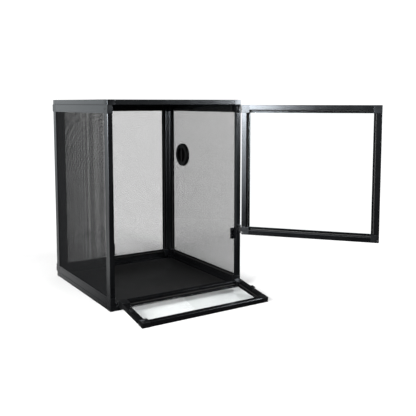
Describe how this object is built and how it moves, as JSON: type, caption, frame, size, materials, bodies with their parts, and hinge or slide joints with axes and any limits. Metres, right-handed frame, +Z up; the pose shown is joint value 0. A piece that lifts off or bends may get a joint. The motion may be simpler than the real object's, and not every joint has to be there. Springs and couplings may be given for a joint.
{
  "type": "hamster cage",
  "caption": "Upright screen cage on a square black frame, with a clear door that swings right, a clear flap that folds down, a floor board and a round port with a turning cap.",
  "frame": {"origin": "centre of the square underside, on the surface the cage stands on", "axes": "+Z up, the doors face -Y, +X to the right of someone facing the doors"},
  "size_m": [0.7121, 0.8108, 0.6],
  "materials": {
    "bar_paint": "satin black powder-coated aluminium bars",
    "black_plastic": "fine-textured black moulded corner blocks, brackets, stops and clips",
    "port_plastic": "semi-gloss black moulded port fitting",
    "woven_screen": "woven dark grey metal screen",
    "spline_cord": "matt black spline cord",
    "door_gasket": "matt black glazing strip",
    "clear_pane": "clear polished acrylic sheet",
    "floor_board": "matt dark floor board with a faint grain",
    "hinge_arm": "satin black hinge arms",
    "strike_steel": "plated steel strikes and magnets",
    "screws": "blackened steel screws and hinge pins"
  },
  "bodies": {
    "cage": {"left_front_stile": "bar_paint", "left_rear_stile": "bar_paint", "left_top_rail": "bar_paint", "left_bottom_rail": "bar_paint", "left_screen": "woven_screen", "right_front_stile": "bar_paint", "right_rear_stile": "bar_paint", "right_top_rail": "bar_paint", "right_bottom_rail": "bar_paint", "right_screen": "woven_screen", "side_corners": "black_plastic", "back_left_stile": "bar_paint", "back_right_stile": "bar_paint", "back_top_rail": "bar_paint", "back_bottom_rail": "bar_paint", "back_screen": "woven_screen", "back_corners": "black_plastic", "top_left_rail": "bar_paint", "top_right_rail": "bar_paint", "top_front_rail": "bar_paint", "top_rear_rail": "bar_paint", "top_screen": "woven_screen", "top_corners": "black_plastic", "base_left_rail": "bar_paint", "base_right_rail": "bar_paint", "base_rear_rail": "bar_paint", "base_corners": "black_plastic", "front_sill": "bar_paint", "floor_panel": "floor_board", "screen_spline": "spline_cord", "hinge_brackets": "black_plastic", "hinge_pins": "screws", "door_stops": "black_plastic", "catch_magnets": "strike_steel", "port_collar": "port_plastic", "port_ring": "port_plastic", "rear_clips": "black_plastic", "frame_screws": "screws"},
    "upper_door": {"upper_door_hinge_stile": "bar_paint", "upper_door_free_stile": "bar_paint", "upper_door_top_rail": "bar_paint", "upper_door_bottom_rail": "bar_paint", "upper_door_corners": "black_plastic", "upper_door_pane": "clear_pane", "upper_door_gasket": "door_gasket", "upper_door_strikes": "strike_steel", "upper_door_screws": "screws", "upper_hinge_arms": "hinge_arm"},
    "lower_door": {"lower_door_left_stile": "bar_paint", "lower_door_right_stile": "bar_paint", "lower_door_top_rail": "bar_paint", "lower_door_hinge_rail": "bar_paint", "lower_door_corners": "black_plastic", "lower_door_pane": "clear_pane", "lower_door_gasket": "door_gasket", "lower_door_strikes": "strike_steel", "lower_door_screws": "screws", "lower_hinge_arms": "hinge_arm", "lower_door_knobs": "black_plastic"},
    "port_cap_body": {"port_cap": "port_plastic"}
  },
  "joints": [
    {"name": "upper_door_hinge", "type": "hinge", "parent": "cage", "child": "upper_door", "pos_m": [0.218, -0.233, 0.382], "axis": [0, 0, 1], "range_deg": [-130, 50]},
    {"name": "lower_door_hinge", "type": "hinge", "parent": "cage", "child": "lower_door", "pos_m": [0, -0.233, 0.01575], "axis": [1, 0, 0], "range_deg": [-98.41, 0]},
    {"name": "port_cap_turn", "type": "hinge", "parent": "cage", "child": "port_cap_body", "pos_m": [0.2194, 0.13, 0.403], "axis": [1, 0, 0], "range_deg": [0, 60]}
  ]
}
